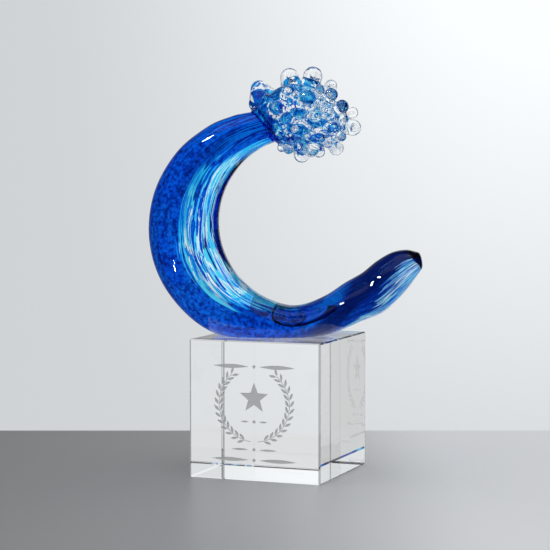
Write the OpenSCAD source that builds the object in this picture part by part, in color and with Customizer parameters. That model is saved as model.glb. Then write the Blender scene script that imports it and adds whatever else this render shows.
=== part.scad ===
// Glass wave sculpture: a cased art-glass wave with a prunted foam crest,
// bonded to a polished crystal cube whose front face is etched with a laurel.
// Millimetres, +Z up, origin at the centre of the cube's underside.

/* [Crystal cube] */
// Side of the crystal cube
cube_side = 80; // [72:1:92]
// Polished bevel along the cube's edges
edge_bevel = 0.7; // [0.4:0.1:1.2]
// Depth of the etched decoration in the front face
etch_depth = 0.3; // [0.2:0.05:0.6]

/* [Bond] */
// Thickness of the clear adhesive film between cube and wave
film_wall = 0.2; // [0.1:0.05:0.4]

/* [Wave arm] */
// Turn of the wave's plane about the vertical, from the cube's front face
wave_turn = 20; // [0:1:30]
// Radius of the arc that the wave's back follows
back_radius = 68.5; // [66:0.5:72]
// Centre of the back arc, to the right of the cube's centre
back_offset = -8; // [-11:0.5:-5]
// How far the back arc would dip below the cube's top, which grinds the foot flat
foot_ground = 6; // [4.5:0.5:7]
// How much tighter the arc of the wave's hollow face is than the back's
radius_step = 19; // [17:0.5:20]
// Centre of the face arc, to the right of the back arc's centre
face_shift = 22.5; // [20:0.5:25]
// Lowest point of the hollow face, above the cube's top
foot_rise = 17; // [15:0.5:19]
// Half depth of the arm where it meets the crest
neck_half_depth = 13; // [11:0.5:15]
// Half depth of the arm at its widest, over the cube
belly_half_depth = 22; // [18:0.5:25]
// Reach of the tail to the right of the arm's lowest section
tail_reach = 81.8; // [76:0.2:88]

/* [Glass layers] */
// Clear casing over the colour
casing_wall = 1.2; // [0.8:0.1:1.8]
// Colour layer between casing and core
colour_wall = 0.9; // [0.6:0.1:1.4]

/* [Crest] */
// Half length of the crest along its own axis
crest_half_length = 25; // [23:0.5:27]
// Half width of the crest across its axis
crest_half_width = 19; // [18:0.5:20]
// How much blunter the crest is at the neck than at the nose
crest_bluntness = 0.12; // [0:0.02:0.2]
// Droop of the crest's axis below the horizontal
crest_droop = 11; // [9:1:14]
// How far the crest's blunt end reaches past the middle of the arm's end
crest_sunk = 1.5; // [1:0.25:2]
// Rise of the line from the middle of the arm's end to the crest's centre
crest_rise = 12; // [9:1:15]
// Clear gather over the crest's blue core
gather_wall = 3.5; // [2.5:0.5:5]

/* [Prunts] */
// Size of the clear prunts, as a share of their full size
prunt_size = 1; // [0.85:0.05:1]
// Height of a prunt's centre over the crest, in its own radii
prunt_stand = 0.75; // [0.6:0.05:0.9]

/* [Etching] */
// Radius of the laurel's two stems
laurel_radius = 21.5; // [18:0.5:24]
// Height of the laurel's centre over the table
laurel_height = 44; // [40:0.5:48]
// Length of a laurel leaf
leaf_length = 4.6; // [3.5:0.1:5.5]
// Width of a laurel leaf
leaf_width = 1.5; // [1:0.1:2]
// Pairs of leaves on each stem
leaf_pairs = 13; // [9:1:15]
// Outer radius of the star inside the laurel
star_radius = 9; // [6:0.5:11]

/* [Hidden] */
$fn = 48;
seat_z = cube_side + film_wall;
face_y = -cube_side / 2;

// Arc centres in the wave's plane, as [right, up]
face_radius = back_radius - radius_step;
back_centre = [back_offset, cube_side + back_radius - foot_ground];
face_centre = [back_offset + face_shift, cube_side + face_radius + foot_rise];
pole_centre = (back_centre + face_centre) / 2;

// Where the arm ends against the crest, as angles on the two arcs
joint_angles = [97.3, 107.6];
joint_back = on_arc(back_centre, back_radius, joint_angles[0]);
joint_face = on_arc(face_centre, face_radius, joint_angles[1]);
// One more section of the arm close behind its end, which leans the same way
neck_angles = [101.5, 118.5];
neck_back = on_arc(back_centre, back_radius, neck_angles[0]);
neck_face = on_arc(face_centre, face_radius, neck_angles[1]);
joint_middle = (joint_back + joint_face) / 2;
joint_along = (joint_face - joint_back) / norm(joint_face - joint_back);
crest_reach = crest_half_length - crest_sunk;
crest_centre = joint_middle + crest_reach * [cos(crest_rise), sin(crest_rise)];

// Stations down the arm: [angle about the pole, share of the belly's depth, colour edge at the
// rear, colour edge at the front], the edges as degrees round the section from the back
arm_stations = [
    [116, 0.67, -118, 128],
    [128, 0.74, -104, 121],
    [146, 0.84, -88, 110],
    [166, 0.90, -80, 97],
    [186, 0.93, -76, 87],
    [206, 0.96, -74, 86],
    [228, 0.98, -70, 92],
    [250, 1, -55, 112],
    [270, 1, -35, 150]
];

// Stations up the tail, measured from the middle of the arm's last section, as drawn for a
// reach of 81.8: [underside right, up, upper side right, up, share of depth, colour edges]
tail_stations = [
    [12, -9.5, 11, 11.8, 1, -10, 190],
    [28.5, -5.4, 24, 17, 1, 28, 212],
    [44, 1.2, 35.2, 24.4, 0.98, 48, 225],
    [56.4, 6.2, 45.2, 30.2, 0.95, 70, 232],
    [64.4, 12.7, 53.6, 37, 0.9, 90, 236],
    [71.4, 20.2, 62.6, 42.2, 0.8, 105, 238],
    [76.6, 27, 71, 43.8, 0.62, 112, 240],
    [80, 32, 77.8, 42.4, 0.4, 118, 242]
];
tail_tip = [81.8, 37.6];
tail_scale = tail_reach / tail_tip[0];

// Steps between two stations, and round each of the two colour spans
ring_steps = 3;
span_steps = 9;
sides = 2 * span_steps;
// How much deeper a section is towards the wave's back
back_fullness = 0.1;
// The thinnest section that still holds an inner layer
least_inside = 1.25 * casing_wall;

function on_arc(centre, radius, angle) = centre + radius * [cos(angle), sin(angle)];

// Distance from the pole to a circle, along a ray at an angle
function ray_to_arc(centre, radius, angle) =
    let (ray = [cos(angle), sin(angle)], off = centre - pole_centre, along = off * ray)
    along + sqrt(along * along - off * off + radius * radius);

function arm_section(st) =
    let (
        ray = [cos(st[0]), sin(st[0])],
        back = pole_centre + ray_to_arc(back_centre, back_radius, st[0]) * ray,
        face = pole_centre + ray_to_arc(face_centre, face_radius, st[0]) * ray
    )
    [back[0], back[1], face[0], face[1], st[1] * belly_half_depth, st[2], st[3]];

joint_section = [
    joint_back[0], joint_back[1], joint_face[0], joint_face[1], neck_half_depth, -140, 138
];
neck_section = [
    neck_back[0], neck_back[1], neck_face[0], neck_face[1], 1.06 * neck_half_depth, -126, 125
];
last_arm = arm_section(arm_stations[len(arm_stations) - 1]);
tail_root = [(last_arm[0] + last_arm[2]) / 2, (last_arm[1] + last_arm[3]) / 2];

function tail_section(st) = [
    tail_root[0] + st[0] * tail_scale, tail_root[1] + st[1] * tail_scale,
    tail_root[0] + st[2] * tail_scale, tail_root[1] + st[3] * tail_scale,
    st[4] * belly_half_depth, st[5], st[6]
];
tip = tail_root + tail_tip * tail_scale;
tip_section = [tip[0], tip[1], tip[0], tip[1], 0, 120, 243];

sections = concat(
    [joint_section, neck_section],
    [for (st = arm_stations) arm_section(st)],
    [for (st = tail_stations) tail_section(st)],
    [tip_section]
);

// A smooth curve through four neighbouring sections
function blend(a, b, c, d, t) =
    0.5 * (2 * b + (c - a) * t + (2 * a - 5 * b + 4 * c - d) * t * t
        + (3 * b - a - 3 * c + d) * t * t * t);

last_section = len(sections) - 1;
function section_at(i, t) = blend(
    sections[max(i - 1, 0)], sections[i], sections[i + 1], sections[min(i + 2, last_section)], t
);
smooth_sections = [
    for (i = [0:last_section - 1], k = [0:ring_steps - 1]) section_at(i, k / ring_steps)
];

function half_height(s) = norm([s[0] - s[2], s[1] - s[3]]) / 2;
inner_sections = [
    for (s = smooth_sections)
        if (min(half_height(s), s[4]) > casing_wall + colour_wall + least_inside) s
];

// The angles round a section: the colour span first, then the streaked span
function round_angles(s) = concat(
    [for (k = [0:span_steps - 1]) s[5] + (s[6] - s[5]) * k / span_steps],
    [for (k = [0:span_steps - 1]) s[6] + (s[5] + 360 - s[6]) * k / span_steps]
);

// One closed ring of points, sunk by inset below the glass's surface
function ring(s, inset) =
    let (
        middle = [(s[0] + s[2]) / 2, (s[1] + s[3]) / 2],
        half = half_height(s),
        out = [s[0] - middle[0], s[1] - middle[1]] * ((half - inset) / half),
        depth = s[4] - inset
    )
    [
        for (a = round_angles(s)) [
            middle[0] + out[0] * cos(a),
            -depth * sin(a) * (1 + back_fullness * cos(a)),
            middle[1] + out[1] * cos(a)
        ]
    ];

function ring_middle(s) = [(s[0] + s[2]) / 2, 0, (s[1] + s[3]) / 2];
function flat(lists) = [for (l = lists) each l];

// The wall between two rings of n points, as triangles; the points after the first ahead run
// backwards, so their squares are split the other way to meet the next layer face to face
function wall(a, b, n, ahead) = [
    for (k = [0:n - 1])
        let (j = (k + 1) % n)
        each k < ahead
            ? [[a + k, b + k, a + j], [b + k, b + j, a + j]]
            : [[a + k, b + k, b + j], [a + k, b + j, a + j]]
];
function turned(faces) = [for (f = faces) [f[0], f[2], f[1]]];

// A solid of stacked closed rings, from a flat start to a pointed end
module lofted(rings, start, end) {
    n = len(rings[0]);
    m = len(rings);
    last = (m - 1) * n;
    polyhedron(
        points = concat(flat(rings), [start, end]),
        faces = concat(
            flat([for (r = [0:m - 2]) wall(r * n, (r + 1) * n, n, n)]),
            [for (k = [0:n - 1]) [k, (k + 1) % n, m * n]],
            [for (k = [0:n - 1]) [last + k, m * n + 1, last + (k + 1) % n]]
        )
    );
}

// A skin between two such solids, open only at the flat start
module lofted_skin(outer, inner, outer_end, inner_end) {
    n = len(outer[0]);
    mo = len(outer);
    mi = len(inner);
    first_in = mo * n;
    last_out = (mo - 1) * n;
    last_in = first_in + (mi - 1) * n;
    ends = (mo + mi) * n;
    polyhedron(
        points = concat(flat(outer), flat(inner), [outer_end, inner_end]),
        faces = concat(
            flat([for (r = [0:mo - 2]) wall(r * n, (r + 1) * n, n, n)]),
            flat([for (r = [0:mi - 2]) turned(wall(first_in + r * n, first_in + (r + 1) * n, n, n))]),
            turned(wall(0, first_in, n, n)),
            [for (k = [0:n - 1]) [last_out + k, ends, last_out + (k + 1) % n]],
            [for (k = [0:n - 1]) [last_in + k, last_in + (k + 1) % n, ends + 1]]
        )
    );
}

// A strip of a layer, between two depths and from one point of each ring to another
module layer_strip(from, to, inset_out, inset_in) {
    picks = [for (k = [from:to]) k % sides];
    loops = [
        for (s = inner_sections)
            let (o = ring(s, inset_out), i = ring(s, inset_in))
            concat([for (k = picks) o[k]], [for (k = [len(picks) - 1:-1:0]) i[picks[k]]])
    ];
    p = len(picks);
    n = 2 * p;
    m = len(loops);
    last = (m - 1) * n;
    cap = [for (k = [0:p - 2]) each [[k, k + 1, n - 2 - k], [k, n - 2 - k, n - 1 - k]]];
    polyhedron(
        points = flat(loops),
        faces = concat(
            flat([for (r = [0:m - 2]) wall(r * n, (r + 1) * n, n, p)]),
            cap,
            turned([for (f = cap) [f[0] + last, f[1] + last, f[2] + last]])
        )
    );
}

// Everything under the ground seat, which is cut away from each layer of the wave
module below_seat() {
    reach = 4 * back_radius;
    translate([-reach / 2, -reach / 2, seat_z - reach]) cube(reach);
}

module on_wave_plane() {
    rotate([0, 0, wave_turn]) children();
}

inner_last = inner_sections[len(inner_sections) - 1];
tip_point = [tip[0], 0, tip[1]];
core_end = ring_middle(inner_last);
core_inset = casing_wall + colour_wall;

module whole_wave() {
    lofted([for (s = smooth_sections) ring(s, 0)], ring_middle(sections[0]), tip_point);
}

module clear_core() {
    color("lightcyan")
        on_wave_plane() difference() {
            lofted([for (s = inner_sections) ring(s, core_inset)], ring_middle(sections[0]), core_end);
            below_seat();
        }
}

module blue_overlay() {
    color("mediumblue")
        on_wave_plane() difference() {
            layer_strip(0, span_steps, casing_wall, core_inset);
            below_seat();
        }
}

module aqua_streak_layer() {
    color("deepskyblue")
        on_wave_plane() difference() {
            layer_strip(span_steps, sides, casing_wall, core_inset);
            below_seat();
        }
}

module clear_casing() {
    color("azure")
        on_wave_plane() difference() {
            lofted_skin(
                [for (s = smooth_sections) ring(s, 0)],
                [for (s = inner_sections) ring(s, casing_wall)],
                tip_point, core_end
            );
            below_seat();
        }
}

module bond_film() {
    color("whitesmoke")
        on_wave_plane() intersection() {
            whole_wave();
            translate([-2 * back_radius, -2 * back_radius, cube_side])
                cube([4 * back_radius, 4 * back_radius, film_wall]);
        }
}

// Half of an egg against the turning axis, blunt below, for the crest's bodies of revolution
crest_steps = 28;
function egg_width(wide, turn) = wide * sin(turn) * (1 + crest_bluntness * cos(turn));
function half_egg(long, wide) = [
    for (k = [0:crest_steps])
        let (turn = 180 * k / crest_steps)
        [egg_width(wide, turn), -long * cos(turn)]
];

// Puts +Z along the crest's axis, from the neck towards the nose
module on_crest() {
    on_wave_plane() translate([crest_centre[0], 0, crest_centre[1]])
        rotate([0, 90 + crest_droop, 0]) children();
}

module crest_body() {
    rotate_extrude() polygon(half_egg(crest_half_length, crest_half_width));
}

module crest_core() {
    color("dodgerblue")
        on_crest() rotate_extrude()
            polygon(half_egg(crest_half_length - gather_wall, crest_half_width - gather_wall));
}

module crest_gather() {
    outer = half_egg(crest_half_length, crest_half_width);
    inner = half_egg(crest_half_length - gather_wall, crest_half_width - gather_wall);
    color("azure")
        on_crest() rotate_extrude()
            polygon(concat(outer, [for (k = [crest_steps:-1:0]) inner[k]]));
}

// The crest's size against the one that its flare and prunts are drawn for, along and across
crest_long = crest_half_length / 25;
crest_wide = crest_half_width / 19;
crest_scale = min(crest_long, crest_wide);

// The flare that carries the crest, as rings from the arm's end into the crest:
// [middle right of the arm's end, up, half height, half depth, lean of the ring]
flare_foot = joint_middle;
flare_foot_half = norm(joint_face - joint_back) / 2;
foot_lean = atan2(-joint_along[1], -joint_along[0]);
flare_rings = [
    [0, 0, flare_foot_half, neck_half_depth, foot_lean],
    flare_step(4.2, 1.6, 2, 1.4, -4),
    flare_step(7.6, 2.2, 5.5, 4, -10),
    flare_step(10, 2.4, 8, 6, -14),
    [
        14 * crest_long, 2.5 * crest_wide, 0.87 * crest_half_width, 0.87 * crest_half_width,
        foot_lean - 20
    ]
];
// A ring whose half height and half depth grow from those at the foot
function flare_step(right, up, taller, deeper, lean) = [
    right * crest_long, up * crest_wide, flare_foot_half + taller * crest_wide,
    neck_half_depth + deeper * crest_wide, foot_lean + lean
];
flare_sides = 24;
function flare_ring(r) = [
    for (k = [0:flare_sides - 1])
        let (a = 360 * k / flare_sides)
        [
            flare_foot[0] + r[0] + r[2] * cos(a) * cos(r[4]),
            -r[3] * sin(a),
            flare_foot[1] + r[1] + r[2] * cos(a) * sin(r[4])
        ]
];

module whole_flare() {
    on_wave_plane() lofted(
        [for (r = flare_rings) flare_ring(r)],
        [flare_foot[0], 0, flare_foot[1]],
        [crest_centre[0], 0, crest_centre[1]]
    );
}

module neck_flare() {
    color("royalblue")
        difference() {
            whole_flare();
            on_crest() crest_body();
        }
}

// Prunts as seen from the front, from the crest's centre, as drawn for a crest of 25 by 19:
// [right, up, radius, how far it is dragged towards the neck, height in its own radii]
rim_prunts = [
    [-27, 20, 5.3, 0, 1.7],
    [-9.5, 24, 5.6, 0, 0.8],
    [5, 26, 5.7, 0, 1],
    [17, 20.5, 3.8, 0, 1.3],
    [30, 5, 3.3, 0, 1.7],
    [29.5, -6.2, 4.8, 0, 0.85],
    [19.5, -18.5, 4.5, 0, 0.8],
    [-1.5, -22, 4.8, 0, 0.5],
    [9, -21, 3.6, 0, 0.5],
    [-9.5, -19.5, 2.3, 0, 0.5]
];
face_prunts = [
    [16, 13.5, 3.9, 0, 0.75],
    [22.3, 6.8, 4.1, 0, 0.75],
    [23.5, -1, 2.8, 0, 0.75],
    [16.5, -6.5, 4.4, 0, 0.75],
    [22, -11.5, 2.8, 0, 0.75],
    [14, 3, 3.4, 0, 0.75],
    [7, 1, 3.6, 0, 0.6],
    [7, -11.5, 4, 3, 0.6],
    [-4.5, -6.5, 4.2, 5, 0.4],
    [-3.5, 2.5, 3.6, 4, 0.3],
    [1, 11, 5, 2, 0.6],
    [-9.5, 15, 3.6, 2, 0.6],
    [-16, 5.5, 4.3, 2, 0.5],
    [9, 16.5, 2.9, 0, 0.75],
    [14, -15, 2.8, 0, 0.75]
];

// Where a prunt sits, as [angle from the nose, angle round the axis, its values]; a prunt
// seen beyond the crest's outline sits on the outline
function seated(p, side) =
    let (
        lift = p[2] * crest_scale * p[4],
        right = p[0] * crest_long,
        up = p[1] * crest_wide,
        along = (right * cos(crest_droop) - up * sin(crest_droop)) / (crest_half_length + lift),
        across = right * sin(crest_droop) + up * cos(crest_droop),
        ratio = along / max(1, norm([along, across / (crest_half_width + lift)])),
        turn = acos(ratio),
        wide = egg_width(crest_half_width, 180 - turn) + lift
    )
    [turn, side * acos(max(-1, min(1, -across / wide))), p];
prunts = concat(
    [for (p = rim_prunts) seated(p, 1)],
    [for (p = face_prunts) seated(p, 1)],
    [for (p = face_prunts) seated(p, -1)]
);
function two_digits(n) = str(n < 10 ? "0" : "", n);
function prunt_name(i) = str("prunt_", two_digits(i + 1));

// The lean of the crest's surface at an angle from the nose, from a chord either side of it
function surface_lean(turn) =
    let (
        a = max(turn - 1, 0), b = min(turn + 1, 180),
        out = egg_width(crest_half_width, 180 - b) - egg_width(crest_half_width, 180 - a),
        back = crest_half_length * (cos(a) - cos(b))
    )
    atan2(back, out);

// A glass bead on a flared foot, seated square on the crest, some dragged out by the tool
module prunt(place) {
    turn = place[0];
    p = place[2];
    r = p[2] * crest_scale * prunt_size;
    drag = p[3] * crest_scale;
    height = p[4] / 0.75 * prunt_stand * r;
    root = 2 * crest_scale;
    color("white")
        difference() {
            on_crest() rotate([0, 0, place[1]])
                translate([egg_width(crest_half_width, 180 - turn), 0, crest_half_length * cos(turn)])
                    rotate([0, surface_lean(turn), 0]) {
                        translate([-drag / 2, 0, height]) sphere(r);
                        if (drag > 0) {
                            translate([drag / 2, 0, height]) sphere(0.8 * r);
                            translate([-drag / 2, 0, height]) rotate([0, 90, 0])
                                cylinder(h = drag, r1 = 0.98 * r, r2 = 0.8 * r);
                        }
                        translate([-drag / 2, 0, -root]) cylinder(h = root + height, r = 0.85 * r);
                    }
            on_crest() crest_body();
            if (near_flare(place)) whole_flare();
        }
}
// Only a prunt close to the neck can reach the flare
function near_flare(place) = place[0] > 88;

// A pointed leaf from the origin along +X
leaf_steps = 6;
module leaf(long, wide) {
    polygon(concat(
        [for (k = [0:leaf_steps]) [long * k / leaf_steps, wide / 2 * sin(180 * k / leaf_steps)]],
        [
            for (k = [leaf_steps - 1:-1:1])
                [long * k / leaf_steps, -wide / 2 * sin(180 * k / leaf_steps)]
        ]
    ));
}

// One branch of the laurel, up the right side from the bottom
branch_start = -84;
branch_end = 50;
leaf_lean = 32;
stem_width = laurel_radius / 61;
stem_steps = 24;
module branch() {
    span = branch_end - branch_start;
    function stem(r, k) =
        let (a = branch_start + span * k / stem_steps)
        r * [cos(a), sin(a)];
    polygon(concat(
        [for (k = [0:stem_steps]) stem(laurel_radius + stem_width / 2, k)],
        [for (k = [stem_steps:-1:0]) stem(laurel_radius - stem_width / 2, k)]
    ));
    for (k = [1:leaf_pairs], side = [-1, 1]) {
        a = branch_start + span * k / leaf_pairs;
        rotate(a) translate([laurel_radius + side * stem_width, 0])
            rotate(90 - side * leaf_lean) leaf(leaf_length, leaf_width);
    }
}

star_points = 5;
star_waist = 0.42;
module star() {
    polygon([
        for (k = [0:2 * star_points - 1])
            let (r = star_radius * (k % 2 == 0 ? 1 : star_waist), a = 90 + 180 * k / star_points)
            r * [cos(a), sin(a)]
    ]);
}

// A divider of two slim leaves with a lozenge between them
lozenge = laurel_radius / 13.5;
module divider(long, wide) {
    for (side = [0, 180])
        rotate(side) translate([2 * lozenge, 0]) leaf(long / 2 - 2 * lozenge, wide);
    rotate(45) square(lozenge, center = true);
}

// [height over the laurel's centre, length, width], as shares of the laurel's radius
dividers = [[-0.465, 0.744, 0.051], [-1.209, 1.302, 0.056], [-1.488, 2.419, 0.102], [1, 2.326, 0.112]];
module etching() {
    translate([0, laurel_height]) {
        branch();
        mirror([1, 0]) branch();
        translate([0, 0.163 * laurel_radius]) star();
        for (d = dividers * laurel_radius) translate([0, d[0]]) divider(d[1], d[2]);
    }
}

module crystal_cube() {
    half = cube_side / 2;
    color("ghostwhite")
        difference() {
            translate([-half, -half, 0]) cube(cube_side);
            // Bevels along the four edges of each direction
            for (turn = [0:90:270]) {
                translate([0, 0, half]) rotate([0, 0, turn]) bevel_edge(half);
                translate([0, 0, half]) rotate([turn, 0, 0]) rotate([0, 90, 0]) bevel_edge(half);
                translate([0, 0, half]) rotate([0, turn, 0]) rotate([90, 0, 0]) bevel_edge(half);
            }
            translate([0, face_y + etch_depth, 0]) rotate([90, 0, 0])
                linear_extrude(2 * etch_depth) etching();
        }
}

// A square bar laid along one edge, turned so that it takes off the bevel
module bevel_edge(half) {
    bar = edge_bevel * sqrt(2);
    translate([half, half, 0]) rotate([0, 0, 45])
        cube([bar, 2 * bar, 2 * cube_side], center = true);
}

crystal_cube();
bond_film();
clear_core();
blue_overlay();
aqua_streak_layer();
clear_casing();
neck_flare();
crest_core();
crest_gather();
for (i = [0:len(prunts) - 1])
    prunt(prunts[i]);
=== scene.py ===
"""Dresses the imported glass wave: cased coloured glass, a prunted crest and an etched cube."""

import math
from types import SimpleNamespace

import bmesh
import bpy
import numpy as np
from mathutils import Matrix, Vector


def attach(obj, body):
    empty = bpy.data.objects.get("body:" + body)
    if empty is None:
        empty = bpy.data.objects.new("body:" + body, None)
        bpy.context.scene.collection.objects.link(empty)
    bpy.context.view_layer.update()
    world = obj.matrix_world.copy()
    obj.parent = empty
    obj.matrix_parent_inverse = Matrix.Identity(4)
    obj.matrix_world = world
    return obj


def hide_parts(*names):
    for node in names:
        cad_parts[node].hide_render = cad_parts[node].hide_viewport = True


bl_info = {
    "name": "Glass Wave Sculpture",
    "version": (1, 0, 0),
    "blender": (4, 5, 0),
    "location": "View3D > Sidebar > Glass Wave",
    "description": "Builds the looks of a cased glass wave on a crystal cube",
    "category": "Object",
}

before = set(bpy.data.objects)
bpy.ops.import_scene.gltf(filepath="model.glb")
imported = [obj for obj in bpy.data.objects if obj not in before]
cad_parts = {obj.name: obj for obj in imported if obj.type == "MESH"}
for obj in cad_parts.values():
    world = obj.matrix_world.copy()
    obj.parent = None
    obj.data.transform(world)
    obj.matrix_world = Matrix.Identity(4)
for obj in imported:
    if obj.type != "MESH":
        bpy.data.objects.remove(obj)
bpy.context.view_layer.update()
MM = 0.001

CUBE_SIDE = 80.0
# The wave's skin dips into the cube, so that light passes on; its colour stays above
SKIN_FLOOR, LAYER_FLOOR = CUBE_SIDE - 0.02, CUBE_SIDE + 0.06
ETCH_DEPTH = 0.3
# Where the etching may lie on the cube's front: half its width, its bottom and its top
ETCH_HALF_WIDTH, ETCH_LOW, ETCH_HIGH = 37.0, 4.0, 76.0
# How far out the painted shade on the cube's ground upright edges starts and is whole, as |x| + |y|
EDGE_SHADE_REACH = (78.8, 79.1)

# The wave's sections, as the part's source has them, in millimetres in the wave's own plane. An
# angle of a joint or neck is on the back's arc, then on the face's. Edges are the cobalt's rear
# and front edge, in degrees round the section from the wave's back.
BACK_CENTRE = (-8.0, CUBE_SIDE + 62.5)
FACE_CENTRE = (14.5, CUBE_SIDE + 66.5)
JOINT_ANGLES, JOINT_EDGES = (97.3, 107.6), (-140, 150)
NECK_ANGLES, NECK_EDGES, NECK_SHARE = (101.5, 118.5), (-126, 138), 1.06
# Angle round the arm, share of the half depth, rear edge, front edge
ARM_STATIONS = (
    (116, 0.67, -118, 128), (128, 0.74, -104, 117), (146, 0.84, -88, 103), (166, 0.90, -80, 92),
    (186, 0.93, -76, 84), (206, 0.96, -74, 83), (228, 0.98, -85, 93), (250, 1.0, -100, 120),
    (270, 1.0, -100, 143),
)
# Low edge right and up, top edge right and up, share of the half depth, rear edge, front edge
TAIL_STATIONS = (
    (12, -9.5, 11, 11.8, 1.0, -60, 166), (28.5, -5.4, 24, 17, 1.0, 5, 200),
    (44, 1.2, 35.2, 24.4, 0.98, 42, 222), (56.4, 6.2, 45.2, 30.2, 0.95, 70, 232),
    (64.4, 12.7, 53.6, 37, 0.90, 90, 236), (71.4, 20.2, 62.6, 42.2, 0.80, 105, 238),
    (76.6, 27, 71, 43.8, 0.62, 112, 240), (80, 32, 77.8, 42.4, 0.40, 118, 242),
)
TAIL_TIP = (81.8, 37.6)
# Right, up, more half height, more half depth, lean; the mouth lies a little inside the egg
FLARE_RINGS = (
    (0, 0, 0, 0, 0), (4.2, 1.6, 2, 1.4, -4), (7.6, 2.2, 5.5, 4, -10), (10, 2.4, 8, 6, -14),
)
FLARE_MOUTH, FLARE_MOUTH_LEAN, FLARE_MOUTH_INSIDE = (14, 2.5), -20, 2.5
# Right, up, radius, length when dragged, how many radii its middle stands out
RIM_PRUNTS = (
    (-27, 20, 5.3, 0, 1.7), (-9.5, 24, 5.6, 0, 0.8), (5, 26, 5.7, 0, 1), (17, 20.5, 3.8, 0, 1.3),
    (30, 5, 3.3, 0, 1.7), (29.5, -6.2, 4.8, 0, 0.85), (19.5, -18.5, 4.5, 0, 0.8),
    (-1.5, -22, 4.8, 0, 0.5), (9, -21, 3.6, 0, 0.5), (-9.5, -19.5, 2.3, 0, 0.5),
)
FACE_PRUNTS = (
    (16, 13.5, 3.9, 0, 0.75), (22.3, 6.8, 4.1, 0, 0.75), (23.5, -1, 2.8, 0, 0.75),
    (16.5, -6.5, 4.4, 0, 0.75), (22, -11.5, 2.8, 0, 0.75), (14, 3, 3.4, 0, 0.75),
    (7, 1, 3.6, 0, 0.6), (7, -11.5, 4, 3, 0.6), (-4.5, -6.5, 4.2, 5, 0.4), (-3.5, 2.5, 3.6, 4, 0.3),
    (1, 11, 5, 2, 0.6), (-9.5, 15, 3.6, 2, 0.6), (-16, 5.5, 4.3, 2, 0.5), (9, 16.5, 2.9, 0, 0.75),
    (14, -15, 2.8, 0, 0.75),
)
SHOULDER_PRUNT = 0  # it leans back over the flare
SHOULDER_TURN = 0.35
CORED_RADIUS, BUBBLE_RADIUS = 3.4, 3.5
ROUND_SIDES = 48
RING_ANGLES = [2 * math.pi * k / ROUND_SIDES for k in range(ROUND_SIDES)]
# Low beads fill the gaps up to this far from the nose, and silver keeps off its very tip
FILLER_TURN, SPECKLE_TURN = math.radians(112), math.radians(35)


def length(name, description, metres):
    return bpy.props.FloatProperty(
        name=name, description=description, default=metres, min=0.0, precision=5, unit="LENGTH")


def colour(name, description, *value):
    return bpy.props.FloatVectorProperty(
        name=name, description=description, default=value, size=3, min=0.0, max=1.0,
        subtype="COLOR")


class GlassWaveSizes(bpy.types.PropertyGroup):
    """Sizes of the wave"""

    wave_turn: bpy.props.FloatProperty(
        name="Wave Turn", description="Turn of the wave's plane from the cube's front face",
        default=math.radians(20), subtype="ANGLE")
    back_radius: length("Back Radius", "Radius of the arc along the wave's back", 0.0685)
    face_radius: length("Face Radius", "Radius of the arc along the wave's hollow face", 0.0495)
    neck_half_depth: length("Neck Half Depth", "Half depth of the arm at the crest", 0.013)
    belly_half_depth: length("Belly Half Depth", "Half depth of the arm over the cube", 0.022)
    skin: length("Skin", "How far the polished skin lies inside the solid's facets", 0.00016)
    layer_depth: length("Layer Depth", "Clear glass over the colour", 0.0006)
    gather_wall: length("Gather Wall", "Clear glass over the crest's blue core", 0.0035)
    crest_voxel: length("Crest Detail", "Grid size at which the crest's beads are fused", 0.0005)


class GlassWaveColours(bpy.types.PropertyGroup):
    """Colours of the glass and the table"""

    cobalt_deep: colour("Deep Cobalt", "Darkest blotches of the overlay", 0.001, 0.022, 0.26)
    cobalt: colour("Cobalt", "Main colour of the overlay", 0.002, 0.085, 0.60)
    cobalt_far: colour(
        "Far Cobalt", "The overlay on the far side, where it is blown thinner", 0.26, 0.74, 0.98)
    # Navy also paints the shade of the band across the tail
    navy: colour("Navy", "The overlay where it gathers at the tail's lip", 0.001, 0.008, 0.10)
    # Azure also paints the light above the tail's navy band
    azure: colour("Azure", "Thin places of the overlay", 0.005, 0.26, 0.90)
    aqua: colour("Aqua", "Bright streaks on the wave's face", 0.10, 0.72, 0.96)
    teal: colour("Teal", "Streaks behind the tail's underside", 0.06, 0.50, 0.74)
    slate: colour("Slate", "Grey blue under the tail", 0.26, 0.38, 0.66)
    sky: colour("Sky", "Blotches of the overlay on its far side", 0.16, 0.62, 0.97)
    pale: colour("Pale Aqua", "Soft tint on the far side of the wave's face", 0.50, 0.90, 1.0)
    crest_light: colour("Crest Light Blue", "Thin blue in the crest's core", 0.12, 0.61, 0.89)
    crest_blue: colour("Crest Blue", "Main blue in the crest's core", 0.012, 0.225, 0.69)
    crest_deep: colour("Crest Deep Blue", "Blue where the crest's core is thick", 0.005, 0.15, 0.58)
    clear: colour("Clear", "Uncoloured glass", 0.94, 0.985, 1.0)
    # Painted light: the colour of the table's right side, painted paler
    floor_lit: colour("Lit Floor", "Table top where the studio lights it paler", 0.92, 0.93, 0.94)
    floor: colour("Floor", "Polished table top", 0.32, 0.325, 0.33)


# Shader maths

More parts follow.
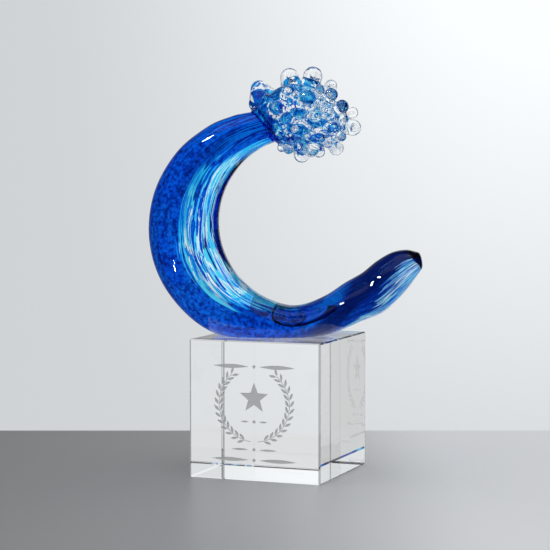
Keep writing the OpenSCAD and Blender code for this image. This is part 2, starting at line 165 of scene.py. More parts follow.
class Value:
    """A socket that takes part in sums, each of which adds its own Math node."""

    def __init__(self, tree, socket):
        self.tree, self.socket = tree, socket

    def math(self, operation, *others):
        return self.tree.value("ShaderNodeMath", {"operation": operation},
                               dict(enumerate((self, *others))))

    def __add__(self, other):
        return self.math("ADD", other)

    def __sub__(self, other):
        return self.math("SUBTRACT", other)

    def __rsub__(self, other):
        return self.tree.value("ShaderNodeMath", {"operation": "SUBTRACT"}, {0: other, 1: self})

    def __mul__(self, other):
        return self.math("MULTIPLY", other)

    def __truediv__(self, other):
        return self.math("DIVIDE", other)

    __radd__, __rmul__ = __add__, __mul__

    def magnitude(self):
        return self.math("ABSOLUTE")

    def at_least(self, other):
        return self.math("MAXIMUM", other)

    def held(self):
        """Held between 0 and 1."""
        return self.at_least(0.0).math("MINIMUM", 1.0)

    def step(self, low, high):
        """0 below low, 1 above high, smooth between."""
        return self.tree.value("ShaderNodeMapRange", {"interpolation_type": "SMOOTHSTEP"},
                               {0: self, 1: low, 2: high, 3: 0.0, 4: 1.0})

    def band(self, low, high, soft):
        """1 between low and high, 0 outside, over a soft edge."""
        return self.step(low - soft, low + soft) * (1 - self.step(high - soft, high + soft))


class Tree:
    """A node tree that is written as Python."""

    def __init__(self, tree, output="ShaderNodeOutputMaterial"):
        self.tree = tree
        tree.nodes.clear()
        self.output = self.node(output)

    def node(self, kind, settings=None, sockets=None):
        made = self.tree.nodes.new(kind)
        for name, value in (settings or {}).items():
            setattr(made, name, value)
        for name, value in (sockets or {}).items():
            self.feed(made.inputs[name], value)
        return made

    def feed(self, socket, value):
        if isinstance(value, Value):
            self.tree.links.new(value.socket, socket)
        elif isinstance(value, bpy.types.NodeSocket):
            self.tree.links.new(value, socket)
        elif socket.type == "RGBA" and len(value) == 3:
            socket.default_value = (*value, 1.0)
        else:
            socket.default_value = value

    def value(self, kind, settings=None, sockets=None, output=0):
        return Value(self, self.node(kind, settings, sockets).outputs[output])

    def mix(self, factor, a, b, blend="MIX"):
        """Colour a where factor is 0 and b where it is 1."""
        return self.value("ShaderNodeMix", {"data_type": "RGBA", "blend_type": blend},
                          {0: factor, 6: a, 7: b}, output=2)

    def painted(self, colour, *coats):
        """A colour under coats, each a factor and the coat's own colour."""
        for factor, coat in coats:
            colour = self.mix(factor, colour, coat)
        return colour

    def noise(self, vector, scale, detail=2.0, rough=0.5, distortion=0.0):
        return self.value("ShaderNodeTexNoise", {"noise_dimensions": "3D"},
                          {"Vector": vector, "Scale": scale, "Detail": detail,
                           "Roughness": rough, "Distortion": distortion})

    def stretched(self, vector, scale):
        """A vector with each direction scaled by its own number."""
        return self.value("ShaderNodeVectorMath", {"operation": "MULTIPLY"}, {0: vector, 1: scale})

    def along(self, vector, axis):
        """How far a vector reaches along an axis."""
        return self.value("ShaderNodeVectorMath", {"operation": "DOT_PRODUCT"},
                          {0: vector, 1: tuple(axis)}, output="Value")

    def parts(self, vector):
        """A vector's x, y and z."""
        split = self.node("ShaderNodeSeparateXYZ", {}, {0: vector})
        return [Value(self, part) for part in split.outputs]

    def object_place(self):
        return self.value("ShaderNodeTexCoord", output="Object")

    def attribute(self, name, output="Fac"):
        """What mark() stored over the surface."""
        return self.value("ShaderNodeAttribute", {"attribute_name": name}, output=output)

    def rays(self, *kinds):
        """For each kind, 1 where the ray that arrives is of that kind."""
        paths = self.node("ShaderNodeLightPath")
        return [Value(self, paths.outputs[f"Is {kind} Ray"]) for kind in kinds]

    def bump(self, height, strength, distance):
        return self.value("ShaderNodeBump", {}, {
            "Strength": strength, "Distance": distance, "Height": height})

    def principled(self, sockets):
        return self.node("ShaderNodeBsdfPrincipled", {}, sockets)

    def glass(self, colour, ior, sockets=None):
        return self.principled({"Base Color": colour, "Roughness": 0.0, "IOR": ior,
                                "Transmission Weight": 1.0, **(sockets or {})})

    def glow(self, colour):
        return self.node("ShaderNodeEmission", {}, {"Color": colour})

    def either(self, factor, first, second):
        """The first shader where factor is 0 and the second where it is 1."""
        return self.node("ShaderNodeMixShader", {}, {
            0: factor, 1: first.outputs[0], 2: second.outputs[0]})

    def end(self, shader):
        """Makes a shader the one that shows."""
        self.feed(self.output.inputs["Surface"], shader.outputs[0])


def new_material(name):
    material = bpy.data.materials.new(name)
    material.use_nodes = True
    return material, Tree(material.node_tree)


def make_film(name, colour_of):
    """A tinted film that doesn't bend light. Its colour comes from a function of its tree."""
    material, tree = new_material(name)
    tree.end(tree.glass(colour_of(tree), 1.0))
    return material


def dyed(tree, colour):
    """A film's shader takes a colour that light meets twice, on the way in and on the way out."""
    return tree.mix(1.0, colour, colour, blend="MULTIPLY")


# Meshes

def linked(name, data):
    """A new object in the scene."""
    made = bpy.data.objects.new(name, data)
    bpy.context.scene.collection.objects.link(made)
    return made


def new_object(name, verts, faces, smooth=True):
    mesh = bpy.data.meshes.new(name)
    mesh.from_pydata([tuple(v) for v in verts], [], [tuple(int(i) for i in f) for f in faces])
    mesh.update()
    if smooth:
        mesh.shade_smooth()
    return linked(name, mesh)


def mark(thing, name, values):
    """Stores a number or a vector at each vertex, for a material to read."""
    values = np.asarray(values, np.float32)
    kind, field = ("FLOAT_VECTOR", "vector") if values.ndim == 2 else ("FLOAT", "value")
    thing.data.attributes.new(name, kind, "POINT").data.foreach_set(field, values.ravel())


def grid_faces(rings, sides, closed=True):
    faces = []
    for r in range(rings - 1):
        for k in range(sides if closed else sides - 1):
            j = (k + 1) % sides
            faces.append((r * sides + k, (r + 1) * sides + k, (r + 1) * sides + j, r * sides + j))
    return faces


def on_arc(centre, radius, angle):
    turn = math.radians(angle)
    return np.array([centre[0] + radius * math.cos(turn), centre[1] + radius * math.sin(turn)])


class WaveShape:
    """The wave's sections and every surface that follows them, in millimetres in its plane."""

    into_crest = 0.9  # how far the joint's section goes on, in steps from the neck to the joint
    # The rounded tip: how far it stays back, how hard its edges leave and arrive, and where to
    tip_round, tip_leave, tip_arrive, tip_turn = 1.7, 0.8, 1.3, (-0.10, 0.99)

    def __init__(self, sizes):
        # A property holds about seven digits, so the rest is rounded off
        self.turn = math.radians(round(math.degrees(sizes.wave_turn), 4))
        self.sizes = SimpleNamespace(**{
            name: round(getattr(sizes, name) / MM, 4)
            for name in sizes.__annotations__ if name != "wave_turn"})
        self.back_centre, self.face_centre = np.array(BACK_CENTRE), np.array(FACE_CENTRE)
        self.pole = (self.back_centre + self.face_centre) / 2
        self.joint_back, self.joint_face = self.edges(JOINT_ANGLES)
        self.joint_middle = (self.joint_back + self.joint_face) / 2
        self.joint_half = np.linalg.norm(self.joint_back - self.joint_face) / 2
        self.rows = self.all_rows()

    def edges(self, angles):
        """The back's and the face's point at an angle on each one's own arc."""
        return (on_arc(self.back_centre, self.sizes.back_radius, angles[0]),
                on_arc(self.face_centre, self.sizes.face_radius, angles[1]))

    def reach(self, centre, radius, angle):
        """Where a ray from the pole meets an arc."""
        ray = np.array([math.cos(math.radians(angle)), math.sin(math.radians(angle))])
        off = centre - self.pole
        along = off @ ray
        return self.pole + ray * (along + math.sqrt(along ** 2 - off @ off + radius ** 2))

    def all_rows(self):
        """Sections from the crest to the tail: back edge, face edge, half depth, cobalt's edges."""
        s = self.sizes
        neck_back, neck_face = self.edges(NECK_ANGLES)
        rows = [
            (*self.joint_back, *self.joint_face, s.neck_half_depth, *JOINT_EDGES),
            (*neck_back, *neck_face, NECK_SHARE * s.neck_half_depth, *NECK_EDGES),
        ]
        for angle, share, rear, front in ARM_STATIONS:
            back = self.reach(self.back_centre, s.back_radius, angle)
            face = self.reach(self.face_centre, s.face_radius, angle)
            rows.append((*back, *face, share * s.belly_half_depth, rear, front))
        root = (np.array(rows[-1][0:2]) + np.array(rows[-1][2:4])) / 2
        for low_r, low_u, top_r, top_u, share, rear, front in TAIL_STATIONS:
            rows.append((root[0] + low_r, root[1] + low_u, root[0] + top_r, root[1] + top_u,
                         share * s.belly_half_depth, rear, front))
        self.tip = root + np.array(TAIL_TIP) - self.tip_round * np.array([1.0, 0.3])
        # The joint's section once more, a little way into the crest
        first, second = np.array(rows[0], float), np.array(rows[1], float)
        ahead = first + self.into_crest * (first - second)
        ahead[4:] = first[4:]
        return np.array([ahead] + rows, float)

    def smooth_rows(self, steps, skip):
        """Rows between the stations on a smooth curve, then a rounded end at the tail's tip. The
        first few, deep in the crest, are skipped."""
        rows = self.rows
        last = len(rows) - 1
        out = []
        for i in range(last):
            a, b, c, d = (rows[min(max(i + k, 0), last)] for k in (-1, 0, 1, 2))
            for k in range(steps):
                t = k / steps
                out.append(0.5 * (2 * b + (c - a) * t + (2 * a - 5 * b + 4 * c - d) * t ** 2
                                  + (3 * b - a - 3 * c + d) * t ** 3))
        # The tip: both edges turn over into it, and the depth closes on a round
        end, before = rows[last], rows[last - 1]
        size = np.linalg.norm(end[0:2] - end[2:4]) / 2
        for k in range(2 * steps):
            t = k / (2 * steps)
            t = 1 - (1 - t) ** 2
            row = end.copy()
            for edge, lean in ((slice(0, 2), 1), (slice(2, 4), -1)):
                leave = end[edge] - before[edge]
                leave *= self.tip_leave * size / np.linalg.norm(leave)
                arrive = lean * self.tip_arrive * size * np.array(self.tip_turn)
                row[edge] = (
                    (2 * t ** 3 - 3 * t ** 2 + 1) * end[edge] + (t ** 3 - 2 * t ** 2 + t) * leave
                    + (3 * t ** 2 - 2 * t ** 3) * self.tip + (t ** 3 - t ** 2) * arrive)
            row[4] = end[4] * math.sqrt(1 - t) * (1 - 0.1 * t)
            out.append(row)
        return np.array(out[skip:])

    def surface(self, rows, inset, angles, floor):
        """Points round each row, inset below the surface and flat where they reach the floor."""
        a = np.radians(angles)
        middle = (rows[:, 0:2] + rows[:, 2:4]) / 2
        out = (rows[:, 0:2] - rows[:, 2:4]) / 2
        half = np.linalg.norm(out, axis=1)
        out = out * (np.maximum(half - inset, 0.05) / half)[:, None]
        depth = np.maximum(rows[:, 4] - inset, 0.05)
        right = middle[:, 0:1] + out[:, 0:1] * np.cos(a)
        up = middle[:, 1:2] + out[:, 1:2] * np.cos(a)
        near = -depth[:, None] * np.sin(a) * (1 + 0.1 * np.cos(a))
        up = np.maximum(up, floor)
        return np.stack([right, near, up], -1)

    def placed(self, points):
        """Points of the wave's plane, turned and in metres."""
        flat = np.asarray(points, float).reshape(-1, 3)
        x = flat[:, 0] * math.cos(self.turn) - flat[:, 1] * math.sin(self.turn)
        y = flat[:, 0] * math.sin(self.turn) + flat[:, 1] * math.cos(self.turn)
        return np.stack([x, y, flat[:, 2]], -1) * MM


class CrestShape:
    """The crest's egg and where its prunts sit."""

    half_length, half_width, bluntness = 25.0, 19.0, 0.12
    droop, reach, rise = 11.0, 23.5, 12.0

    def __init__(self, wave):
        self.wave = wave
        rise = math.radians(self.rise)
        self.centre = wave.joint_middle + self.reach * np.array([math.cos(rise), math.sin(rise)])
        self.middle = wave.placed([self.from_axis(0, 0, 0)])[0]

    def width(self, turn, wall=0.0):
        wide = self.half_width - wall
        return wide * math.sin(turn) * (1 - self.bluntness * math.cos(turn))

    def axis(self, x, y, z):
        """A direction of the crest's axes, as the scene has it."""
        far = self.wave.placed([self.from_axis(x, y, z)])[0] - self.middle
        return far / np.linalg.norm(far)

    def point(self, turn, around, lift=0.0, drag=0.0):
        """A point over the egg: turn from the nose, around the axis, in the wave's plane."""
        nearby = math.radians(1)
        low, high = max(turn - nearby, 0), min(turn + nearby, math.pi)
        tangent = np.array([self.width(high) - self.width(low),
                            self.half_length * (math.cos(high) - math.cos(low))])
        tangent /= np.linalg.norm(tangent)
        normal = np.array([-tangent[1], tangent[0]])
        base = np.array([self.width(turn), self.half_length * math.cos(turn)])
        out, along = base + normal * lift + tangent * drag
        return self.from_axis(out * math.cos(around), out * math.sin(around), along)

    def place(self, turn, around, lift=0.0, drag=0.0):
        """The same point, as the scene has it."""
        return self.wave.placed([self.point(turn, around, lift, drag)])[0]

    def from_axis(self, x, y, z):
        """Crest axis coordinates, +Z to the nose, as the part's source turns them."""
        tilt = math.radians(90 + self.droop)
        right = x * math.cos(tilt) + z * math.sin(tilt)
        up = -x * math.sin(tilt) + z * math.cos(tilt)
        return np.array([self.centre[0] + right, y, self.centre[1] + up])

    def seat(self, prunt, side):
        """Where over the egg a prunt sits, so that it shows at its place in the wave's plane."""
        right, up, radius, _, stand = prunt
        lift = radius * stand
        droop = math.radians(self.droop)
        along = (right * math.cos(droop) - up * math.sin(droop)) / (self.half_length + lift)
        across = right * math.sin(droop) + up * math.cos(droop)
        size = math.hypot(along, across / (self.half_width + lift))
        turn = math.acos(along / max(1.0, size))
        wide = self.width(turn) + lift
        around = side * math.acos(max(-1.0, min(1.0, -across / wide)))
        return turn, around

    def fillers(self):
        """Low beads in the gaps between the prunts, as [turn, around, radius]."""
        draw = np.random.default_rng(7)
        taken = [(self.point(turn, around, radius * stand), radius)
                 for turn, around, radius, _, stand in self.prunts()]
        found = []
        for _ in range(160):
            turn = math.acos(draw.uniform(-0.62, 1.0))
            around = draw.uniform(-math.pi, math.pi)
            radius = draw.uniform(2.6, 4.2)
            at = self.point(turn, around, 0.35 * radius)
            if turn < FILLER_TURN and all(
                    np.linalg.norm(at - other) > 0.9 * (radius + size) for other, size in taken):
                taken.append((at, radius))
                found.append((turn, around, radius))
        return found

    def prunts(self):
        """Turn, place around, radius, drag and stand: the rim's, then behind, then in front."""
        for prunts, side in ((RIM_PRUNTS + FACE_PRUNTS, 1), (FACE_PRUNTS, -1)):
            for prunt in prunts:
                yield (*self.seat(prunt, side), *prunt[2:])


def ball(bm, centre, radius, squash=(1.0, 1.0, 1.0), finer=3):
    """A ball at a place of the scene. Its radius, like a limb's, is in millimetres."""
    verts = bmesh.ops.create_icosphere(bm, subdivisions=finer, radius=radius * MM)["verts"]
    bmesh.ops.scale(bm, vec=squash, verts=verts)
    bmesh.ops.translate(bm, vec=Vector(centre), verts=verts)
    return verts


def limb(bm, start, end, start_radius, end_radius):
    """A closed tapered cylinder between two points."""
    axis = Vector(end) - Vector(start)
    turn = axis.to_track_quat("Z", "Y").to_matrix().to_4x4()
    place = Matrix.Translation((Vector(start) + Vector(end)) / 2) @ turn
    bmesh.ops.create_cone(bm, cap_ends=True, segments=24, radius1=start_radius * MM,
                          radius2=end_radius * MM, depth=axis.length, matrix=place)


def closed_rings(bm, wave, rings):
    """A closed skin through rings of points of the wave's plane."""
    rings = [[bm.verts.new(place) for place in wave.placed(ring)] for ring in rings]
    for a, b in zip(rings, rings[1:]):
        for k in range(ROUND_SIDES):
            j = (k + 1) % ROUND_SIDES
            bm.faces.new((a[k], a[j], b[j], b[k]))
    bm.faces.new(list(reversed(rings[0])))
    bm.faces.new(rings[-1])


def egg_body(bm, crest, wall=0.0, rings=40):
    """The crest's egg, or what lies a wall inside it."""
    long = crest.half_length - wall
    skin = []
    for turn in (math.pi * k / rings for k in range(rings + 1)):
        wide = max(crest.width(turn, wall), 0.01)
        skin.append([crest.from_axis(wide * math.cos(a), wide * math.sin(a), long * math.cos(turn))
                     for a in RING_ANGLES])
    closed_rings(bm, crest.wave, skin)


def fused(name, bm, voxel, smoothing):
    """One closed skin round overlapping bodies."""
    bmesh.ops.recalc_face_normals(bm, faces=bm.faces)
    mesh = bpy.data.meshes.new(name)
    bm.to_mesh(mesh)
    bm.free()
    made = linked(name, mesh)
    remesh = made.modifiers.new("Fuse", "REMESH")
    remesh.mode, remesh.voxel_size, remesh.use_smooth_shade = "VOXEL", voxel, True
    smooth = made.modifiers.new("Melt", "SMOOTH")
    smooth.factor, smooth.iterations = 0.5, smoothing
    return baked(made)


def baked(thing):
    """Applies an object's modifiers to its mesh."""
    graph = bpy.context.evaluated_depsgraph_get()
    mesh = bpy.data.meshes.new_from_object(thing.evaluated_get(graph))
    old = thing.data
    thing.modifiers.clear()
    thing.data = mesh
    bpy.data.meshes.remove(old)
    return thing


def flare_ring(wave, right, up, more_half, more_depth, lean):
    """A ring of the flare: the joint's section, moved, made larger and leant."""
    foot = wave.joint_back - wave.joint_face
    half, depth = wave.joint_half + more_half, wave.sizes.neck_half_depth + more_depth
    angle = math.atan2(foot[1], foot[0]) + math.radians(lean)
    middle = wave.joint_middle + np.array([right, up])
    return [(middle[0] + half * math.cos(a) * math.cos(angle), -depth * math.sin(a),
             middle[1] + half * math.cos(a) * math.sin(angle)) for a in RING_ANGLES]


def flare_body(bm, crest, inset=0.0):
    """The trumpet between the arm's end and the crest."""
    wave = crest.wave
    rows = [(r, u, h - inset, d - inset, lean) for r, u, h, d, lean in FLARE_RINGS]
    mouth = crest.half_width - FLARE_MOUTH_INSIDE - inset
    rows.append((*FLARE_MOUTH, mouth - wave.joint_half, mouth - wave.sizes.neck_half_depth,
                 FLARE_MOUTH_LEAN))
    closed_rings(bm, wave, [flare_ring(wave, *row) for row in rows])


# Pieces

def make_clear_glass(name, tint):
    material, tree = new_material(name)
    place = tree.object_place()
    ripple = tree.noise(place, 28.0, detail=1.0)
    seeds = tree.noise(place, 900.0, detail=2.0)
    flank = tree.attribute("flank")
    some = tree.noise(place, 160.0).step(0.40, 0.52)
    folds = tree.noise(place, 170.0, detail=1.0, distortion=1.6)
    height = ripple * 0.05 + seeds * flank * some * 0.35 + folds * tree.attribute("head") * 0.7
    cords = tree.noise(tree.stretched(place, (1.0, 1.0, 3.0)), 60.0).step(0.35, 0.75)
    glass = tree.glass(tree.mix(cords * 0.5, tint, [c * 0.985 for c in tint]), 1.5,
                       {"Normal": tree.bump(height, 0.8, 0.001)})
    # Trapped air shows as a silver speckle, which also glows a little: painted light for the light
    # behind it that it passes on
    silver_and_glow = tree.principled({
        "Base Color": (0.95, 0.99, 1.0), "Roughness": 0.5, "Emission Color": (0.95, 0.96, 0.95),
        "Emission Strength": 0.25})
    speckle = tree.noise(place, 560.0, detail=1.0).step(0.475, 0.51) * flank * 0.95
    tree.end(tree.either(speckle, glass, silver_and_glow))
    return material


def adhesive_colour(tree):
    haze = tree.noise(tree.object_place(), 90.0).step(0.3, 0.8)
    return tree.mix(haze, (1.0, 1.0, 1.0), (0.995, 0.997, 1.0))


def layer_colour(tree, colours):
    """The coloured glass inside the casing: mottled cobalt, then aqua and clear streaks."""
    flow = tree.attribute("flow", "Vector")
    cover = tree.attribute("cover")
    place = tree.object_place()
    # How far along the wave, from its face to its back, and from its rear to its front
    tail, back, near = tree.parts(flow)
    front = near.step(-0.25, 0.15)
    # Streaks run along the wave, wander a little, and are narrow round it
    drift = tree.node("ShaderNodeTexNoise", {"noise_dimensions": "3D"},
                      {"Vector": flow, "Scale": 1.7, "Detail": 1.0})
    bent = tree.value("ShaderNodeVectorMath", {"operation": "MULTIPLY_ADD"},
                      {0: drift.outputs["Color"], 1: (0.0, 0.42, 0.42), 2: flow})
    broad = tree.noise(tree.stretched(bent, (1.2, 5.0, 5.0)), 1.0, detail=2.0, rough=0.5)
    lines = tree.noise(tree.stretched(bent, (2.8, 12.0, 12.0)), 1.0, detail=2.0, rough=0.55)
    hairs = tree.noise(tree.stretched(bent, (4.0, 30.0, 30.0)), 1.0, detail=1.0)
    # The overlay: blotches of frit, darker in places, drawn out along the wave, and darker towards
    # the tail's end
    frit = tree.noise(place, 420.0, detail=3.0, rough=0.65)
    cloud = tree.noise(place, 120.0, detail=2.0)
    blotch = frit * 0.85 + cloud * 0.15
    neck = 1 - tail.step(0.12, 0.55)
    lit = (lines * 0.7 + hairs * 0.3).step(0.50, 0.55) * (0.12 + neck * 0.75)
    # Darker towards the tail's end
    thick = tail.step(1.80, 2.25) * (0.45 + (1 - lines.step(0.50, 0.56)) * 0.55)
    # Painted shade: a navy band crosses the tail, with painted light in azure above it
    band = back + 0.05 + (tail - 2.12) * 3.6 + (broad - 0.5) * 0.6
    tail_shading_span = tail.step(1.78, 1.95) * (1 - tail.step(2.28, 2.42))
    lip = (0 - back).step(-0.05, 0.35) * tail.step(2.05, 2.40)
    cobalt = tree.painted(
        colours.cobalt_deep,
        (blotch.step(0.43, 0.53), colours.cobalt),
        (blotch.step(0.54, 0.60) * 0.28, colours.azure),
        (lit, colours.azure),
        ((lines * 0.6 + broad * 0.4).band(0.40, 0.47, 0.01) * neck * 0.8, colours.cobalt_deep),
        (thick, colours.cobalt_deep),
        (band.band(-1.30, -0.62, 0.14) * tail_shading_span * 0.40, colours.azure),
        (band.band(-0.45, 0.45, 0.12) * tail_shading_span * 0.80, colours.navy),
        (lip * 0.9, colours.navy))
    far = tree.mix(frit.step(0.4, 0.6) * 0.4, colours.cobalt_far, colours.sky)
    cobalt = tree.mix(front, far, cobalt)
    # Past its edge: aqua with cobalt lines, then clear with aqua and navy lines
    edge = cover + (broad - 0.5) * 90 + (lines - 0.5) * 70
    ragged = (frit - 0.5) * 0.10
    white = (hairs * 0.6 + broad * 0.4 + ragged).step(0.53, 0.55) * (0 - edge).step(4.0, 14.0)
    dark = (lines * 0.6 + broad * 0.4 + ragged).step(0.56, 0.575)
    aqua = tree.painted(
        colours.azure, ((lines + ragged).step(0.44, 0.46), colours.aqua),
        (white, colours.clear), (dark, colours.cobalt))
    bright = tree.painted(
        colours.aqua, ((lines + ragged).step(0.46, 0.48), colours.clear),
        ((lines * 0.5 + hairs * 0.5).step(0.53, 0.545), colours.azure),
        (broad.band(0.545, 0.60, 0.006), colours.cobalt_deep))
    grey = tree.painted(
        colours.cobalt, ((lines + ragged).step(0.47, 0.50), colours.slate),
        ((hairs * 0.8 + lines * 0.2).step(0.525, 0.545), colours.clear))
    pale = tree.painted(
        colours.clear, (broad.step(0.40, 0.60), colours.pale),
        (lines.step(0.42, 0.50) * tail.step(1.72, 1.90) * 0.40, colours.teal))
    beyond = tree.painted(
        aqua, ((neck * 22 - edge).step(26.0, 40.0), bright),
        (tail.step(2.00, 2.25) * 0.85, grey))
    beyond = tree.mix(front, pale, beyond)
    return dyed(tree, tree.mix(edge.step(-2.0, 2.0), beyond, cobalt))


def crest_colour(tree, crest, colours):
    """Blue swirls, deeper towards the flare, pale on top and clear in places near the nose."""
    place = tree.object_place()
    along, above = (tree.along(place, axis) - float(axis @ crest.middle)
                    for axis in (crest.axis(0, 0, 1), crest.axis(-1, 0, 0)))
    high = above.step(0.007, 0.012)
    patch = tree.noise(place, 100.0, detail=2.0, rough=0.6, distortion=1.2)
    swirl = tree.noise(place, 170.0, detail=1.0, distortion=1.5)
    deep = 1 - (patch * 0.09 + swirl * 0.06 + along).step(0.046, 0.054)
    thin = (patch * 0.7 + swirl * 0.3 + along * 4).step(0.505, 0.53)
    return dyed(tree, tree.painted(
        colours.crest_blue, (swirl.step(0.46, 0.54), colours.crest_light),
        (deep * (1 - high) * 0.6, colours.crest_deep), (high * 0.6, colours.crest_light),
        (thin, colours.clear)))


def layer_strip(name, wave, inset, start, stop):
    """A painted layer between two places round each section: 0 is the cobalt's rear edge, 1 its
    front edge and 2 the rear edge again."""
    rows = wave.smooth_rows(14, skip=10)
    half = np.linalg.norm(rows[:, 0:2] - rows[:, 2:4], axis=1) / 2
    rows = rows[np.minimum(half, rows[:, 4]) > 1.5 * inset]
    middle = (rows[:, 0:2] + rows[:, 2:4]) / 2
    along = np.concatenate([[0], np.cumsum(np.linalg.norm(np.diff(middle, axis=0), axis=1))])
    shares = np.linspace(start, stop, 65)
    verts, flow, cover = [], [], []
    for row, distance in zip(rows, along):
        rear, front = row[5], row[6]
        angles = np.where(shares <= 1, rear + (front - rear) * shares,
                          front + (rear + 360 - front) * (shares - 1))
        points = wave.surface(row[None], inset, angles, LAYER_FLOOR)[0]
        verts.extend(points)
        centre, half_span = (rear + front) / 2, (front - rear) / 2
        away = (angles - centre + 180) % 360 - 180
        cover.extend(half_span - np.abs(away))
        for a in np.radians(angles):
            flow.append((distance / 100, math.cos(a), math.sin(a)))
    made = new_object(name, wave.placed(verts), grid_faces(len(rows), len(shares), closed=False))
    mark(made, "flow", flow)
    mark(made, "cover", cover)
    return made


def show(thing, material):
    thing.data.materials.clear()
    thing.data.materials.append(material)


class GLASSWAVE_OT_stage(bpy.types.Operator):
    """Sets up the table, the surroundings, the lamps and the camera"""

    bl_idname = "glass_wave.stage"
    bl_label = "Stage"

    def execute(self, context):
        make_camera(context.scene)
        make_table(context.scene)
        make_surroundings(context.scene)
        make_lamps()
        context.scene.view_settings.view_transform = "Standard"
        cycles = context.scene.cycles
        cycles.max_bounces = cycles.transmission_bounces = 32
        cycles.glossy_bounces, cycles.transparent_max_bounces = 16, 32
        cycles.use_denoising = True
        return {"FINISHED"}


# The photograph's view: degrees, millimetres from the aim, pixels, and the aim in millimetres
CAMERA_AZIMUTH, CAMERA_PITCH, CAMERA_FAR = 21.147, 3.773, 1129.5
CAMERA_FOCUS_PIXELS, PHOTO_PIXELS, SENSOR = 1930.0, 550.0, 36.0
AIM_UP, AIM_RIGHT = 115.33, -2.4536


def view_axes():
    az, pitch = math.radians(CAMERA_AZIMUTH), math.radians(CAMERA_PITCH)
    right = Vector((math.cos(az), math.sin(az), 0))
    forward = Vector((-math.sin(az) * math.cos(pitch), math.cos(az) * math.cos(pitch),
                      -math.sin(pitch)))
    return right, forward, right.cross(forward)


def level_axes():
    """To the right and away from the camera, along the table."""
    right, forward, _ = view_axes()
    return right, Vector((forward.x, forward.y, 0)).normalized()


def make_camera(scene):
    right, forward, up = view_axes()
    camera = bpy.data.cameras.new("Camera")
    camera.sensor_width, camera.sensor_fit = SENSOR, "HORIZONTAL"
    camera.lens = SENSOR * CAMERA_FOCUS_PIXELS / PHOTO_PIXELS
    camera.clip_start, camera.clip_end = 0.05, 50.0
    made = linked("Camera", camera)
    aim = Vector((0, 0, AIM_UP)) + right * AIM_RIGHT
    made.matrix_world = Matrix.Translation((aim - forward * CAMERA_FAR) * MM) @ Matrix(
        (right, up, -forward)).transposed().to_4x4()
    scene.camera = made


TABLE_BACK = 163.0
TABLE_GAP = 0.0001


def make_table(scene):
    right, ahead = level_axes()
    verts, back, front, wide, thick = [], TABLE_BACK * MM, -3.0, 3.0, 0.03
    for depth in (-TABLE_GAP, -thick):
        for along, across in ((back, -wide), (back, wide), (front, wide), (front, -wide)):
            place = ahead * along + right * across
            verts.append((place.x, place.y, depth))
    faces = [(3, 2, 1, 0), (4, 5, 6, 7)]
    faces += [(k, (k + 1) % 4, (k + 1) % 4 + 4, k + 4) for k in range(4)]
    table = new_object("table_top", verts, faces, smooth=False)
    edge = table.modifiers.new("Edge", "BEVEL")
    edge.width, edge.segments = 0.002, 3
    show(table, make_table_finish("polished_table", scene.glass_wave_colours, right))


def make_table_finish(name, colours, right):
    material, tree = new_material(name)
    place = tree.object_place()
    grain = tree.noise(place, 420.0, detail=4.0)
    across = tree.along(place, right)
    # Painted light: the table's colour turns paler towards the right
    lit = across.step(-0.26, 0.0) * 0.17 + across.step(-0.03, 0.11) * 0.83
    colour = tree.painted(
        colours.floor, (grain * 0.12, (0.36, 0.365, 0.37)), (lit, colours.floor_lit))
    shader = tree.principled({"Base Color": colour, "Roughness": 0.38 + grain * 0.05, "IOR": 1.38})
    # Seen through the glass, the table is mostly a pale glow, stronger at a low angle: a painted
    # reflection of the pale sweep in place of its gloss
    is_glossy, is_through = tree.rays("Glossy", "Transmission")
    low = tree.value("ShaderNodeLayerWeight", {}, {"Blend": 0.5}, output="Facing").step(0.45, 0.72)
    pale = tree.either((low * 0.40 + 0.60) * is_through, shader, tree.glow((0.76, 0.77, 0.775)))
    # In the wave's own polish the table shows as a dark glow: a painted dark reflection
    tree.end(tree.either(is_glossy * (1 - is_through), pale, tree.glow((0.03, 0.03, 0.035))))
    return material


